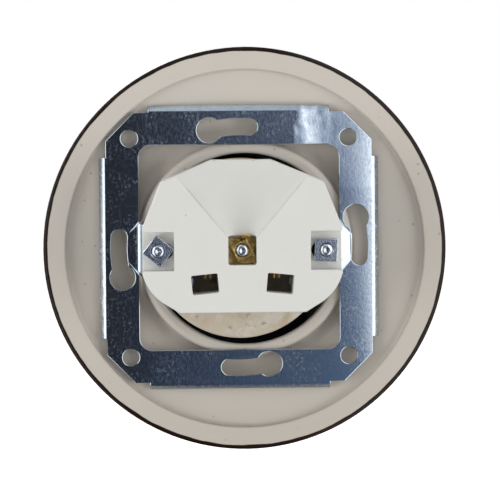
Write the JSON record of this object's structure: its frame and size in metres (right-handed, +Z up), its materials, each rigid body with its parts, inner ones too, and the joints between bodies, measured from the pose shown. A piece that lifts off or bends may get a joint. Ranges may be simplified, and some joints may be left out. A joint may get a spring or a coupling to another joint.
{
  "type": "type f wall socket",
  "caption": "Round flush earthed wall socket: glazed porcelain cover and plug well, folded steel bracket with keyholes, and a ceramic contact base behind.",
  "frame": {"origin": "middle of the mounting bracket on the wall plane", "axes": "+Y into the wall, -Y to the room, +Z up, +X to the right of someone facing the socket"},
  "size_m": [0.1003, 0.0395, 0.1003],
  "materials": {
    "glazed_porcelain": "dark brown gloss glaze, with an unglazed greige back",
    "zinc_plated_sheet": "bright blue passivated zinc",
    "steatite": "matte, unglazed",
    "contact_brass": "plain",
    "aged_brass": "dull, aged",
    "plated_brass": "nickel plated",
    "spring_steel": "plain",
    "zinc_plated_steel": "zinc plated"
  },
  "bodies": {
    "root": {"cover_plate": "glazed_porcelain", "socket_cup": "glazed_porcelain", "mounting_bracket": "zinc_plated_sheet", "ceramic_base": "steatite", "line_contact": "contact_brass", "neutral_contact": "contact_brass", "contact_springs": "spring_steel", "terminal_washers": "zinc_plated_steel", "terminal_screws": "zinc_plated_steel", "earth_strap": "plated_brass", "earth_clamp_plate": "aged_brass", "earth_nut": "aged_brass", "centre_screw": "zinc_plated_steel", "base_screws": "zinc_plated_steel", "base_nuts": "zinc_plated_steel"}
  },
  "joints": []
}
